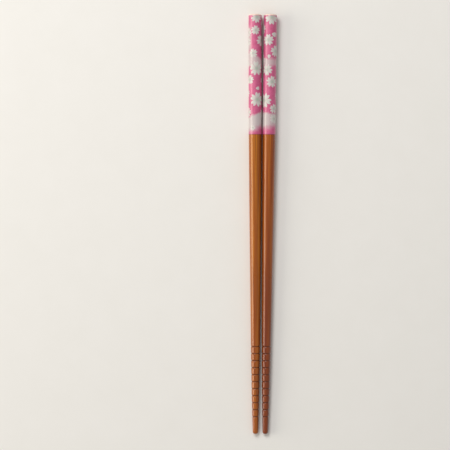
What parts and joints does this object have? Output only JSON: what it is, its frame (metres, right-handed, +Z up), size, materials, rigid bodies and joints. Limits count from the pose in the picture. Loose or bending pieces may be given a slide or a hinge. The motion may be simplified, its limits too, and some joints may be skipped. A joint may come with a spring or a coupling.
{
  "type": "pair of bamboo chopsticks",
  "caption": "Pair of round tapering bamboo chopsticks, with film-printed blossom handles and turned grip rings near the tips.",
  "frame": {"origin": "on the surface that the pair lies on, under the middle of its bounding box", "axes": "+Z up from the surface; +Y along the pair towards the butt ends, so the tips point along -Y; +X across the pair towards the right stick"},
  "size_m": [0.0154, 0.225, 0.0078],
  "materials": {
    "bamboo": "carbonised bamboo under clear lacquer",
    "pink_ground": "glossy printed film",
    "pale_mist": "glossy printed film",
    "white_ink": "glossy printed film"
  },
  "bodies": {
    "root": {"stick_left": "bamboo", "film_left": "pink_ground", "mist_left": "pale_mist", "blossoms_left": "white_ink", "stick_right": "bamboo", "film_right": "pink_ground", "mist_right": "pale_mist", "blossoms_right": "white_ink"}
  },
  "joints": []
}
